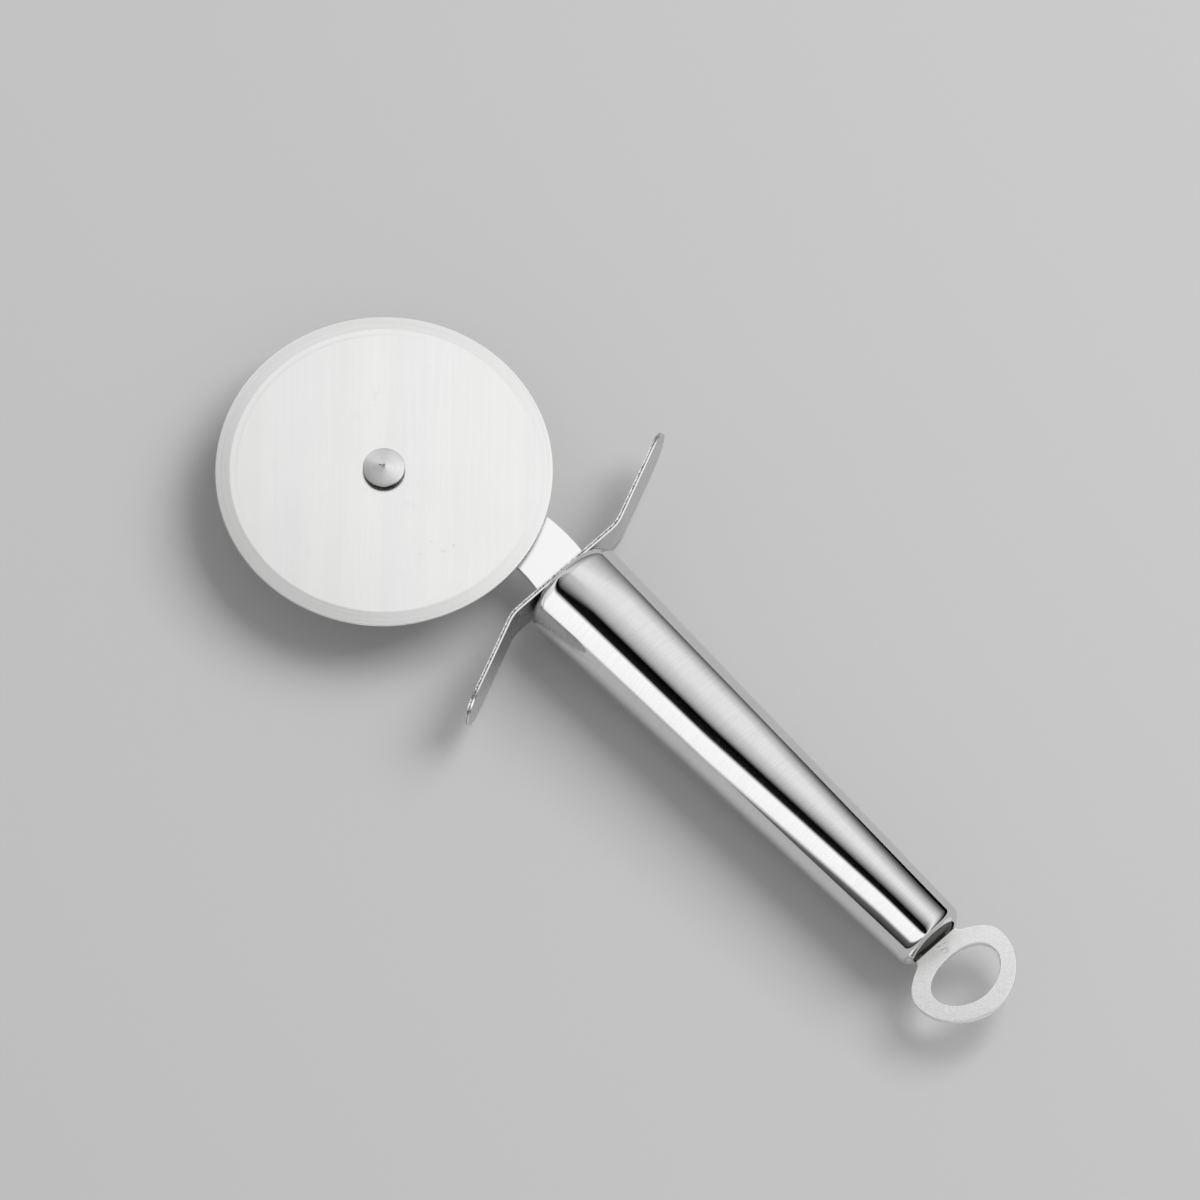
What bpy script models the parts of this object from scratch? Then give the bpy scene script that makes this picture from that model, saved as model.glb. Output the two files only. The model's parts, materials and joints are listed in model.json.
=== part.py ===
"""Pizza wheel cutter, all stainless steel, lying flat.

A thin round blade turns on a rivet at the end of a curved flat arm. The arm's tang passes through a
slotted, Z-bent finger guard into a hollow tapered handle, and the handle's open butt is closed by a
slotted cap that carries a flat hanging ring.

Lengths are in metres. +X runs along the handle from the blade to the hanging ring, +Z is square to
the blade, and +Y is the side that the handle is set off to. The origin is under the middle of the
whole cutter, on the surface that the handle lies on.
"""

import math

import bmesh
import bpy
from mathutils import Vector

# Clearance between pieces that touch, turn or pass through each other on the real cutter
FIT = 0.0003

# Blade
WHEEL_DIAMETER = 0.065
WHEEL_THICKNESS = 0.0008
WHEEL_BEVEL_WIDTH = 0.0028
WHEEL_EDGE_THICKNESS = 0.00015

# Rivet that the blade turns on, and the washer that keeps the blade off the arm
AXLE_DIAMETER = 0.005
RIVET_HEAD_DIAMETER = 0.0081
RIVET_HEAD_WALL = 0.0009
RIVET_HEAD_EDGE_RADIUS = 0.0002
RIVET_CONE_HEIGHT = 0.0009
RIVET_PIP_DIAMETER = 0.0009
RIVET_PIP_HEIGHT = 0.00012
RIVET_TAIL_DIAMETER = 0.0078
RIVET_TAIL_HEIGHT = 0.0013
WASHER_DIAMETER = 0.0100
WASHER_THICKNESS = 0.0004

# Flat arm, from the rivet to the end of the tang inside the handle
ARM_THICKNESS = 0.0015
ARM_WIDTH = 0.0117
ARM_EDGE_RADIUS = 0.00015
ARM_BEND_RADIUS = 0.036
ARM_EXIT_ANGLE = math.radians(7.0)
ARM_STRAIGHT_BEFORE_GUARD = 0.0023
TANG_MEETS_AXIS_BEHIND_GUARD = 0.0034
TANG_LENGTH = 0.020
TANG_CORNER_RADIUS = 0.002

# Finger guard, a strip bent forwards on one side and backwards on the other
GUARD_DISTANCE = 0.0396
GUARD_THICKNESS = 0.0009
GUARD_HEIGHT = 0.0104
GUARD_FLAT_LENGTH = 0.0276
GUARD_WING_LENGTH = 0.0223
GUARD_BEND_ANGLE = math.radians(23.7)
GUARD_BEND_RADIUS = 0.008
GUARD_SHIFT = 0.00035

# Hollow handle
HANDLE_OFFSET = 0.0102
HANDLE_LENGTH = 0.1018
HANDLE_FRONT_DIAMETER = 0.0211
HANDLE_BUTT_DIAMETER = 0.0148
HANDLE_WALL = 0.0008
HANDLE_FRONT_RADIUS = 0.0030
HANDLE_BUTT_RADIUS = 0.0021

# Cap in the butt
CAP_THICKNESS = 0.0030
CAP_DOME = 0.0002
CAP_RECESS = 0.0002
CAP_INNER_CHAMFER = 0.0004

# Hanging ring, measured from its straight neck edge
RING_THICKNESS = 0.0015
RING_EDGE_RADIUS = 0.0002
RING_LENGTH = 0.01735
RING_WIDTH = 0.0223
RING_WIDEST_AT = 0.00725
RING_NECK_WIDTH = 0.0102
RING_BAND = 0.0034
RING_HOLE_LENGTH = 0.01025
RING_HOLE_WIDTH = 0.0153
RING_HOLE_WIDEST_AT = 0.00455
RING_DROP = 0.0013
TONGUE_WIDTH = 0.0060
TONGUE_THICKNESS = 0.0011
TONGUE_LENGTH = 0.0080

# Facets of the round shapes
WHEEL_STEPS = 128
HANDLE_STEPS = 72
SMALL_STEPS = 48
ARC_STEPS = 8
BEND_STEPS = 6

SHARP_ANGLE = math.radians(35.0)


def clear_scene():
    for obj in list(bpy.data.objects):
        bpy.data.objects.remove(obj, do_unlink=True)


def new_collection(name, hidden=False):
    collection = bpy.data.collections.new(name)
    collection.hide_render = hidden
    bpy.context.scene.collection.children.link(collection)
    return collection


def steel(name, colour, roughness):
    """A bare metal finish of its own for one piece."""
    material = bpy.data.materials.new(name)
    material.use_nodes = True
    shader = material.node_tree.nodes["Principled BSDF"]
    shader.inputs["Base Color"].default_value = (*colour, 1.0)
    shader.inputs["Metallic"].default_value = 1.0
    shader.inputs["Roughness"].default_value = roughness
    material.diffuse_color = (*colour, 1.0)
    return material


def arc(centre, radius, start, end, steps=ARC_STEPS):
    """Points on an arc between two angles in degrees, both ends included."""
    angles = [math.radians(start + (end - start) * i / steps) for i in range(steps + 1)]
    return [(centre[0] + radius * math.cos(a), centre[1] + radius * math.sin(a)) for a in angles]


def mesh_object(name, mesh, collection, parent):
    obj = bpy.data.objects.new(name, mesh)
    collection.objects.link(obj)
    obj.parent = parent
    return obj


def turned(name, profile, steps, collection, parent, bored=False):
    """A shape turned about its own Z axis from (radius, height) points that run down the outside, and
    for a bored piece back up the bore."""
    mesh = bpy.data.meshes.new(name)
    edges = [(i, i + 1) for i in range(len(profile) - 1)]
    if bored:
        edges.append((len(profile) - 1, 0))
    mesh.from_pydata([(radius, 0.0, height) for radius, height in profile], edges, [])
    obj = mesh_object(name, mesh, collection, parent)
    screw = obj.modifiers.new("Turn", "SCREW")
    screw.axis = "Z"
    screw.steps = steps
    screw.render_steps = steps
    screw.use_merge_vertices = True
    screw.merge_threshold = 1e-6
    return obj


def plate(name, loops, thickness, collection, parent):
    """A flat plate, centred on its own XY plane, from closed outlines: the first is its edge, the rest
    are holes. An outline is a list of points, or of (point, incoming handle, outgoing handle) knots."""
    curve = bpy.data.curves.new(name, "CURVE")
    curve.dimensions = "2D"
    curve.fill_mode = "BOTH"
    curve.extrude = thickness / 2
    curve.resolution_u = ARC_STEPS
    for loop in loops:
        if len(loop[0]) == 3:
            spline = curve.splines.new("BEZIER")
            spline.bezier_points.add(len(loop) - 1)
            for knot, (point, incoming, outgoing) in zip(spline.bezier_points, loop):
                knot.handle_left_type = "FREE"
                knot.handle_right_type = "FREE"
                knot.co = (*point, 0.0)
                knot.handle_left = (point[0] + incoming[0], point[1] + incoming[1], 0.0)
                knot.handle_right = (point[0] + outgoing[0], point[1] + outgoing[1], 0.0)
        else:
            spline = curve.splines.new("POLY")
            spline.points.add(len(loop) - 1)
            for knot, point in zip(spline.points, loop):
                knot.co = (*point, 0.0, 1.0)
        spline.use_cyclic_u = True
    outline = bpy.data.objects.new(name + "_outline", curve)
    collection.objects.link(outline)
    mesh = bpy.data.meshes.new_from_object(outline.evaluated_get(bpy.context.evaluated_depsgraph_get()))
    bpy.data.objects.remove(outline, do_unlink=True)
    bpy.data.curves.remove(curve)
    mesh.name = name
    welded = bmesh.new()
    welded.from_mesh(mesh)
    bmesh.ops.remove_doubles(welded, verts=welded.verts, dist=1e-7)
    bmesh.ops.recalc_face_normals(welded, faces=welded.faces)
    welded.to_mesh(mesh)
    welded.free()
    return mesh_object(name, mesh, collection, parent)


def round_edges(obj, radius):
    bevel = obj.modifiers.new("Broken edges", "BEVEL")
    bevel.width = radius
    bevel.segments = 2
    bevel.limit_method = "ANGLE"
    bevel.angle_limit = math.radians(60.0)
    bevel.use_clamp_overlap = False


def combine(obj, other, operation):
    boolean = obj.modifiers.new(operation.capitalize() + " " + other.name, "BOOLEAN")
    boolean.operation = operation
    boolean.object = other
    boolean.solver = "EXACT"


def finish(obj, material):
    """Applies the piece's modifiers, gives it its material and shades its round faces smooth."""
    bpy.context.view_layer.update()
    graph = bpy.context.evaluated_depsgraph_get()
    mesh = bpy.data.meshes.new_from_object(obj.evaluated_get(graph))
    mesh.name = obj.name
    obj.modifiers.clear()
    obj.data = mesh
    mesh.materials.clear()
    mesh.materials.append(material)
    mesh.shade_smooth()
    mesh.set_sharp_from_angle(angle=SHARP_ANGLE)


def stack_heights():
    """Heights of the pieces on the rivet above the middle of the arm's thickness, bottom to top."""
    washer_low = ARM_THICKNESS / 2 + FIT
    wheel_low = washer_low + WASHER_THICKNESS + FIT
    head_low = wheel_low + WHEEL_THICKNESS + FIT
    tail_high = -ARM_THICKNESS / 2 - FIT
    return washer_low, wheel_low, head_low, tail_high


def arm_path():
    """The arm's centreline: the angle of its straight run from the rivet, and its bend's centre and end."""
    crossing = ARM_STRAIGHT_BEFORE_GUARD + TANG_MEETS_AXIS_BEHIND_GUARD
    bend_end = Vector((
        GUARD_DISTANCE - ARM_STRAIGHT_BEFORE_GUARD,
        HANDLE_OFFSET + crossing * math.tan(ARM_EXIT_ANGLE),
    ))
    centre = bend_end - ARM_BEND_RADIUS * Vector((math.sin(ARM_EXIT_ANGLE), math.cos(ARM_EXIT_ANGLE)))
    start_angle = math.atan2(centre.y, centre.x) + math.asin(ARM_BEND_RADIUS / centre.length)
    return start_angle, centre, bend_end


def arm_outline(width):
    """The arm's edge for a given width: round about the rivet, straight, bent, then the straight tang."""
    start_angle, centre, bend_end = arm_path()
    half = width / 2
    top = 90.0 + math.degrees(start_angle)
    exit_top = 90.0 - math.degrees(ARM_EXIT_ANGLE)
    hub = arc((0.0, 0.0), half, top, top + 180.0, 3 * ARC_STEPS)
    inner = arc(centre, ARM_BEND_RADIUS - half, top, exit_top, 2 * ARC_STEPS)
    outer = arc(centre, ARM_BEND_RADIUS + half, exit_top, top, 2 * ARC_STEPS)
    along = Vector((math.cos(ARM_EXIT_ANGLE), -math.sin(ARM_EXIT_ANGLE)))
    across = Vector((-along.y, along.x))
    run = (ARM_STRAIGHT_BEFORE_GUARD + TANG_LENGTH) / math.cos(ARM_EXIT_ANGLE)
    corner = bend_end + (run - TANG_CORNER_RADIUS) * along
    inset = half - TANG_CORNER_RADIUS
    low_corner = arc(corner - inset * across, TANG_CORNER_RADIUS, exit_top - 180.0, exit_top - 90.0)
    high_corner = arc(corner + inset * across, TANG_CORNER_RADIUS, exit_top - 90.0, exit_top)
    return hub + inner + low_corner + high_corner + outer


def guard_bend_trim():
    """How far each side of a bend's corner the sheet starts to curve."""
    return GUARD_BEND_RADIUS * math.tan(GUARD_BEND_ANGLE / 2)


def guard_flat_run():
    """Half the flat strip's straight middle, and half of its whole length before it is bent."""
    straight = GUARD_FLAT_LENGTH / 2 - guard_bend_trim()
    wing = GUARD_WING_LENGTH - guard_bend_trim()
    return straight, straight + GUARD_BEND_RADIUS * GUARD_BEND_ANGLE + wing


def bent(along):
    """Where a point of the flat strip goes when the wings are bent, one forwards and one backwards."""
    straight, _ = guard_flat_run()
    past = abs(along) - straight
    x, y = 0.0, abs(along)
    if past > 0.0:
        turn = min(past / GUARD_BEND_RADIUS, GUARD_BEND_ANGLE)
        run = past - GUARD_BEND_RADIUS * turn
        x = -GUARD_BEND_RADIUS * (1.0 - math.cos(turn)) - run * math.sin(turn)
        y = straight + GUARD_BEND_RADIUS * math.sin(turn) + run * math.cos(turn)
    return (x, y) if along > 0.0 else (-x, -y)


def guard_half_span():
    """From the middle of the bent guard to the outermost corner of a wing's tip."""
    middle_of_tip = GUARD_FLAT_LENGTH / 2 + GUARD_WING_LENGTH * math.cos(GUARD_BEND_ANGLE)
    return middle_of_tip + GUARD_THICKNESS / 2 * math.sin(GUARD_BEND_ANGLE)


def handle_front():
    return GUARD_DISTANCE + GUARD_THICKNESS / 2 + FIT


def cap_radius():
    return HANDLE_BUTT_DIAMETER / 2 - HANDLE_BUTT_RADIUS - FIT


def ring_start():
    """Where the ring's neck edge lies, clear of the top of the cap's dome."""
    return handle_front() + HANDLE_LENGTH + CAP_DOME - CAP_RECESS + FIT


def mirrored(knots):
    """The knots of a closed outline's upper half, then those below the axis in the same direction."""
    low = [
        ((x, -y), (out_x, -out_y), (in_x, -in_y))
        for (x, y), (in_x, in_y), (out_x, out_y) in reversed(knots)
        if y > 0.0
    ]
    return knots + low


def ring_outline():
    """The ring's outer edge: a full round end, shoulders that turn in, and hollow curves to the neck."""
    half_width = RING_WIDTH / 2
    half_neck = RING_NECK_WIDTH / 2
    end_fullness = 0.52
    shoulder = (0.29 * RING_WIDEST_AT, half_neck + 0.42 * (half_width - half_neck))
    shoulder_turn = (0.155 * RING_WIDEST_AT, 0.31 * (half_width - half_neck))
    neck_turn = (0.13 * RING_WIDEST_AT, 0.045 * (half_width - half_neck))
    return mirrored([
        ((RING_LENGTH, 0.0), (0.0, -end_fullness * half_width), (0.0, end_fullness * half_width)),
        (
            (RING_WIDEST_AT, half_width),
            (end_fullness * (RING_LENGTH - RING_WIDEST_AT), 0.0),
            (-0.365 * RING_WIDEST_AT, 0.0),
        ),
        (shoulder, shoulder_turn, (-0.45 * shoulder_turn[0], -0.45 * shoulder_turn[1])),
        ((0.0, half_neck), neck_turn, (0.0, 0.0)),
    ])


def ring_hole():
    """The ring's oval hole, a little flatter on the side of the handle, run the other way round."""
    far = RING_LENGTH - RING_BAND
    near = far - RING_HOLE_LENGTH
    widest = near + RING_HOLE_WIDEST_AT
    half_width = RING_HOLE_WIDTH / 2
    far_fullness = 0.51
    near_fullness = 0.59
    knots = mirrored([
        ((far, 0.0), (0.0, -far_fullness * half_width), (0.0, far_fullness * half_width)),
        (
            (widest, half_width),
            (far_fullness * (far - widest), 0.0),
            (-near_fullness * (widest - near), 0.0),
        ),
        ((near, 0.0), (0.0, near_fullness * half_width), (0.0, -near_fullness * half_width)),
    ])
    return [(point, outgoing, incoming) for point, incoming, outgoing in reversed(knots)]


def make_wheel(collection, axle):
    """The blade, ground from both faces to a thin edge, with a bore that runs on the rivet."""
    _, wheel_low, _, _ = stack_heights()
    rim = WHEEL_DIAMETER / 2
    bore = AXLE_DIAMETER / 2 + FIT
    half = WHEEL_THICKNESS / 2
    half_edge = WHEEL_EDGE_THICKNESS / 2
    profile = [
        (bore, half),
        (rim - WHEEL_BEVEL_WIDTH, half),
        (rim, half_edge),
        (rim, -half_edge),
        (rim - WHEEL_BEVEL_WIDTH, -half),
        (bore, -half),
    ]
    wheel = turned("cutting_wheel", profile, WHEEL_STEPS, collection, axle, bored=True)
    wheel.location = (0.0, 0.0, wheel_low + half)
    finish(wheel, steel("ground_blade_steel", (0.80, 0.80, 0.79), 0.28))
    return wheel


def make_rivet(collection, parent):
    """The rivet: a shallow cone on a short wall, a plain axle, and a tail peened over under the arm."""
    _, _, head_low, tail_high = stack_heights()
    head = RIVET_HEAD_DIAMETER / 2
    tail = RIVET_TAIL_DIAMETER / 2
    pip = RIVET_PIP_DIAMETER / 2
    axle = AXLE_DIAMETER / 2
    edge = RIVET_HEAD_EDGE_RADIUS
    wall_top = head_low + RIVET_HEAD_WALL
    cone_top = wall_top + RIVET_CONE_HEIGHT
    slope = math.degrees(math.atan2(RIVET_CONE_HEIGHT, head - pip))
    rounded = arc((head - edge, wall_top - edge), edge, 90.0 - slope, 0.0, 3)
    dome = [
        (tail * math.cos(angle), tail_high - RIVET_TAIL_HEIGHT * math.sin(angle))
        for angle in [math.radians(90.0 * i / ARC_STEPS) for i in range(ARC_STEPS)]
    ]
    profile = [(0.0, cone_top + RIVET_PIP_HEIGHT), (pip, cone_top)]
    profile += rounded
    profile += [(head, head_low), (axle, head_low), (axle, tail_high)]
    profile += dome
    profile += [(0.0, tail_high - RIVET_TAIL_HEIGHT)]
    rivet = turned("axle_rivet", profile, SMALL_STEPS, collection, parent)
    finish(rivet, steel("turned_rivet_steel", (0.72, 0.72, 0.70), 0.30))
    return rivet


def make_washer(collection, parent):
    washer_low, _, _, _ = stack_heights()
    outer = WASHER_DIAMETER / 2
    bore = AXLE_DIAMETER / 2 + FIT
    top = washer_low + WASHER_THICKNESS
    profile = [(bore, top), (outer, top), (outer, washer_low), (bore, washer_low)]
    washer = turned("spacer_washer", profile, SMALL_STEPS, collection, parent, bored=True)
    finish(washer, steel("washer_steel", (0.62, 0.62, 0.61), 0.35))
    return washer


def make_arm(collection, parent):
    bore = arc((0.0, 0.0), AXLE_DIAMETER / 2 + FIT, 0.0, -360.0, SMALL_STEPS)[:-1]
    arm = plate("wheel_arm", [arm_outline(ARM_WIDTH), bore], ARM_THICKNESS, collection, parent)
    round_edges(arm, ARM_EDGE_RADIUS)
    finish(arm, steel("arm_sheet_steel", (0.80, 0.80, 0.79), 0.30))
    return arm


def make_tang_cutter(cutters, parent):
    """The arm grown by the clearance all round, which cuts the slots that the tang passes through."""
    outline = arm_outline(ARM_WIDTH + 2 * FIT)
    return plate("tang_clearance", [outline], ARM_THICKNESS + 2 * FIT, cutters, parent)


def make_guard(collection, parent, tang_cutter):
    """A flat strip with full round ends, creased and bent at two places, then given its thickness and
    its slot."""
    straight, half_length = guard_flat_run()
    radius = GUARD_HEIGHT / 2
    centre = half_length - radius
    outline = arc((centre, 0.0), radius, -90.0, 90.0, 2 * ARC_STEPS)
    outline += arc((-centre, 0.0), radius, 90.0, 270.0, 2 * ARC_STEPS)
    strip = bmesh.new()
    strip.faces.new([strip.verts.new((0.0, along, up)) for along, up in outline])
    for side in (-1.0, 1.0):
        for i in range(BEND_STEPS + 1):
            crease = side * (straight + GUARD_BEND_RADIUS * GUARD_BEND_ANGLE * i / BEND_STEPS)
            bmesh.ops.bisect_plane(
                strip,
                geom=strip.verts[:] + strip.edges[:] + strip.faces[:],
                plane_co=(0.0, crease, 0.0),
                plane_no=(0.0, 1.0, 0.0),
            )
    for vertex in strip.verts:
        vertex.co.x, vertex.co.y = bent(vertex.co.y)
    mesh = bpy.data.meshes.new("finger_guard")
    strip.to_mesh(mesh)
    strip.free()
    guard = mesh_object("finger_guard", mesh, collection, parent)
    guard.location = (GUARD_DISTANCE, HANDLE_OFFSET + GUARD_SHIFT, 0.0)
    sheet = guard.modifiers.new("Sheet", "SOLIDIFY")
    sheet.thickness = GUARD_THICKNESS
    sheet.offset = 0.0
    sheet.use_even_offset = True
    combine(guard, tang_cutter, "DIFFERENCE")
    finish(guard, steel("guard_sheet_steel", (0.76, 0.76, 0.75), 0.32))
    return guard


def handle_profile():
    """The outside of the handle from the edge of the butt's opening to the middle of its front."""
    front = HANDLE_FRONT_DIAMETER / 2
    butt = HANDLE_BUTT_DIAMETER / 2
    butt_centre = (butt - HANDLE_BUTT_RADIUS, HANDLE_LENGTH - HANDLE_BUTT_RADIUS)
    front_centre = (front - HANDLE_FRONT_RADIUS, HANDLE_FRONT_RADIUS)
    taper = math.degrees(math.atan2(front - butt, butt_centre[1] - front_centre[1]))
    rolled = arc(butt_centre, HANDLE_BUTT_RADIUS, 90.0, taper)
    shoulder = arc(front_centre, HANDLE_FRONT_RADIUS, taper, -90.0)
    return rolled + shoulder + [(0.0, 0.0)]


def make_handle(collection, parent, tang_cutter):
    """A thin tapered tube, closed and rounded over in front, rolled in at the open butt."""
    handle = turned("handle_shell", handle_profile(), HANDLE_STEPS, collection, parent)
    handle.location = (handle_front(), HANDLE_OFFSET, 0.0)
    handle.rotation_euler = (0.0, math.radians(90.0), 0.0)
    wall = handle.modifiers.new("Wall", "SOLIDIFY")
    wall.thickness = HANDLE_WALL
    wall.offset = -1.0
    wall.use_even_offset = True
    combine(handle, tang_cutter, "DIFFERENCE")
    finish(handle, steel("satin_handle_steel", (0.74, 0.74, 0.73), 0.30))
    return handle


def make_cap(collection, cutters, parent):
    """A plug in the butt's opening, slightly domed, with a slot that the ring's tongue goes through."""
    radius = cap_radius()
    edge = HANDLE_LENGTH - CAP_RECESS
    dome_radius = (radius ** 2 + CAP_DOME ** 2) / (2 * CAP_DOME)
    opening = math.degrees(math.asin(radius / dome_radius))
    dome = arc((0.0, edge + CAP_DOME - dome_radius), dome_radius, 90.0, 90.0 - opening, ARC_STEPS // 2)
    inner = edge - CAP_THICKNESS
    profile = dome
    profile += [(radius, inner + CAP_INNER_CHAMFER), (radius - CAP_INNER_CHAMFER, inner), (0.0, inner)]
    cap = turned("end_cap", profile, SMALL_STEPS, collection, parent)
    cap.location = (handle_front(), HANDLE_OFFSET, 0.0)
    cap.rotation_euler = (0.0, math.radians(90.0), 0.0)
    tongue = tongue_block("tongue_clearance", FIT, CAP_THICKNESS + TONGUE_LENGTH, cutters, parent)
    combine(cap, tongue, "DIFFERENCE")
    finish(cap, steel("dull_cap_steel", (0.42, 0.40, 0.37), 0.45))
    return cap


def tongue_block(name, grow, length, collection, parent):
    """The straight tongue behind the ring's neck, or with a clearance the slot that it passes."""
    half_width = TONGUE_WIDTH / 2 + grow
    overlap = RING_BAND / 2
    outline = [(-length, -half_width), (overlap, -half_width), (overlap, half_width), (-length, half_width)]
    block = plate(name, [outline], TONGUE_THICKNESS + 2 * grow, collection, parent)
    block.location = (ring_start(), HANDLE_OFFSET, -RING_DROP)
    return block


def make_ring(collection, cutters, parent):
    """The flat hanging ring, stamped in one piece with a thinner tongue that anchors it in the cap."""
    ring = plate("hanging_ring", [ring_outline(), ring_hole()], RING_THICKNESS, collection, parent)
    ring.location = (ring_start(), HANDLE_OFFSET, -RING_DROP)
    round_edges(ring, RING_EDGE_RADIUS)
    tongue = tongue_block("ring_tongue", 0.0, TONGUE_LENGTH, cutters, parent)
    combine(ring, tongue, "UNION")
    finish(ring, steel("ring_sheet_steel", (0.78, 0.78, 0.77), 0.32))
    return ring


def frame_offset():
    """The rivet's place when the origin lies under the middle of the whole cutter."""
    wheel = WHEEL_DIAMETER / 2
    length = (-wheel, ring_start() + RING_LENGTH)
    guard_middle = HANDLE_OFFSET + GUARD_SHIFT
    width = (
        min(-wheel, guard_middle - guard_half_span()),
        max(wheel, guard_middle + guard_half_span()),
    )
    return Vector((-sum(length) / 2, -sum(width) / 2, HANDLE_FRONT_DIAMETER / 2))


def add_empty(name, collection, parent=None):
    empty = bpy.data.objects.new(name, None)
    empty.empty_display_size = WHEEL_DIAMETER / 8
    collection.objects.link(empty)
    empty.parent = parent
    return empty


def main():
    clear_scene()
    parts = new_collection("pizza_wheel_cutter")
    cutters = new_collection("cutters", hidden=True)
    tool = add_empty("arm_frame", parts)
    tool.location = frame_offset()
    axle = add_empty("wheel_axle", parts, tool)
    tang_cutter = make_tang_cutter(cutters, tool)
    make_wheel(parts, axle)
    make_rivet(parts, tool)
    make_washer(parts, tool)
    make_arm(parts, tool)
    make_guard(parts, tool, tang_cutter)
    make_handle(parts, tool, tang_cutter)
    make_cap(parts, cutters, tool)
    make_ring(parts, cutters, tool)
    for cutter in cutters.objects:
        cutter.hide_render = True
        cutter.display_type = "WIRE"


main()
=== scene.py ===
# %% [markdown]
# # A steel pizza wheel cutter
#
# The cutter is bare stainless steel all over, so there is little colour to tell its pieces apart.
# What tells them apart is how each was finished: ground, turned, sheared, brushed or left dull.
# This lesson loads the solid model, looks at it through a camera like the photographer's, makes one
# finish after another, gives the pieces their true soft edges, and then lights them.

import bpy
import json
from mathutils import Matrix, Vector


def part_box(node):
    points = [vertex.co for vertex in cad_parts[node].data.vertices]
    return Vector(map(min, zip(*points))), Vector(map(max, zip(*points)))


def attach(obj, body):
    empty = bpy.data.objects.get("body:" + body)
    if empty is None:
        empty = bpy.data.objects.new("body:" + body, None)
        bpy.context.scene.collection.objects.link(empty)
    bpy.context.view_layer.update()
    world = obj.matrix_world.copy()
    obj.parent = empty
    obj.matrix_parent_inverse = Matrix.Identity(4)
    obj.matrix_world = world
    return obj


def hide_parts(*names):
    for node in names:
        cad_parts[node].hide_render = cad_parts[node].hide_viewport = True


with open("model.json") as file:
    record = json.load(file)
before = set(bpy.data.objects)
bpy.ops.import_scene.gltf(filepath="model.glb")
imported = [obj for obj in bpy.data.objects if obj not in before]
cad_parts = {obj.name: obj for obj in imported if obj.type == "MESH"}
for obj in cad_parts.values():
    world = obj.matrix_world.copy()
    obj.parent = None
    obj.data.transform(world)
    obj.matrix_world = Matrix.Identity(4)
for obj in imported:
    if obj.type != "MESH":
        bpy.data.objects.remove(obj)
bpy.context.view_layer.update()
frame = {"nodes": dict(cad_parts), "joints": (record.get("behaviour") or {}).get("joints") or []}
print("solid pieces:", ", ".join(sorted(frame["nodes"])))

# %% [markdown]
# ## Places on the cutter
#
# Every piece is placed from a few points of the solid model: the line that the blade turns on, the
# line through the middle of the handle, and the heights of the blade. Reading them from the boxes of
# the solid pieces keeps the looks in step with the solids if a size changes.

# %% Measure the solid model
import json
import math

import bmesh
import bpy
from mathutils import Matrix, Vector

spin = frame["joints"][0]
blade_low, blade_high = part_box("cutting_wheel")
handle_low, handle_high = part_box("handle_shell")
ring_low, ring_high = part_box("hanging_ring")
rivet_low, rivet_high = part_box("axle_rivet")
cap_low, cap_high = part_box("end_cap")
arm_low, arm_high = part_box("wheel_arm")

AXLE = Vector(spin["pos_m"])
HANDLE_MIDDLE = (handle_low + handle_high) / 2
ARM_MIDDLE = (arm_low + arm_high) / 2
print("the blade turns about x = %.4f, y = %.4f" % (AXLE.x, AXLE.y))
print("the handle's middle line is at y = %.4f, z = %.4f" % (HANDLE_MIDDLE.y, HANDLE_MIDDLE.z))

# %% [markdown]
# Two steps come again and again: making an object in the scene, and turning a shape that was built
# face by face into a mesh. Each gets a function.

# %% Make objects and meshes
def add_object(name, data):
    """A new object in the scene."""
    thing = bpy.data.objects.new(name, data)
    bpy.context.scene.collection.objects.link(thing)
    return thing


def finished_mesh(name, shape, *materials):
    """The mesh of a shape that is finished with."""
    mesh = bpy.data.meshes.new(name)
    shape.to_mesh(mesh)
    shape.free()
    for material in materials:
        mesh.materials.append(material)
    return mesh


print("objects can be made")

# %% [markdown]
# ## The camera
#
# The photographer stood well back and looked down at the cutter from beside the ring, so its circles
# are seen as ovals and its parallel edges stay nearly parallel. A long lens far away does the same.
# The two angles came from the blade's oval, and the distance and the aim from the guard and the ring.

# %% Set up the camera
VIEW_AZIMUTH = math.radians(46.069)
VIEW_ELEVATION = math.radians(66.816)
VIEW_ROLL = math.radians(0.694)
VIEW_DISTANCE = 2.5
VIEW_WIDTH = 0.2310
AIM_RIGHT = 0.04157
AIM_DOWN = 0.02404
SENSOR_WIDTH = 36.0
CLIP_START = 0.1
CLIP_END = 100.0

towards_camera = Vector((
    math.sin(VIEW_AZIMUTH) * math.cos(VIEW_ELEVATION),
    -math.cos(VIEW_AZIMUTH) * math.cos(VIEW_ELEVATION),
    math.sin(VIEW_ELEVATION),
))
level_right = Vector((math.cos(VIEW_AZIMUTH), math.sin(VIEW_AZIMUTH), 0.0))
level_up = towards_camera.cross(level_right)
right = level_right * math.cos(VIEW_ROLL) + level_up * math.sin(VIEW_ROLL)
up = level_up * math.cos(VIEW_ROLL) - level_right * math.sin(VIEW_ROLL)

hub = Vector((AXLE.x, AXLE.y, HANDLE_MIDDLE.z))
aim = hub + AIM_RIGHT * right - AIM_DOWN * up
camera = add_object("camera", bpy.data.cameras.new("camera"))
camera.matrix_world = (
    Matrix.Translation(aim + VIEW_DISTANCE * towards_camera)
    @ Matrix((right, up, towards_camera)).transposed().to_4x4()
)
camera.data.sensor_width = SENSOR_WIDTH
camera.data.lens = SENSOR_WIDTH * VIEW_DISTANCE / VIEW_WIDTH
camera.data.clip_start = CLIP_START
camera.data.clip_end = CLIP_END
bpy.context.scene.camera = camera
print("lens: %.1f mm, looking at %s" % (camera.data.lens, [round(v, 4) for v in aim]))

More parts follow.
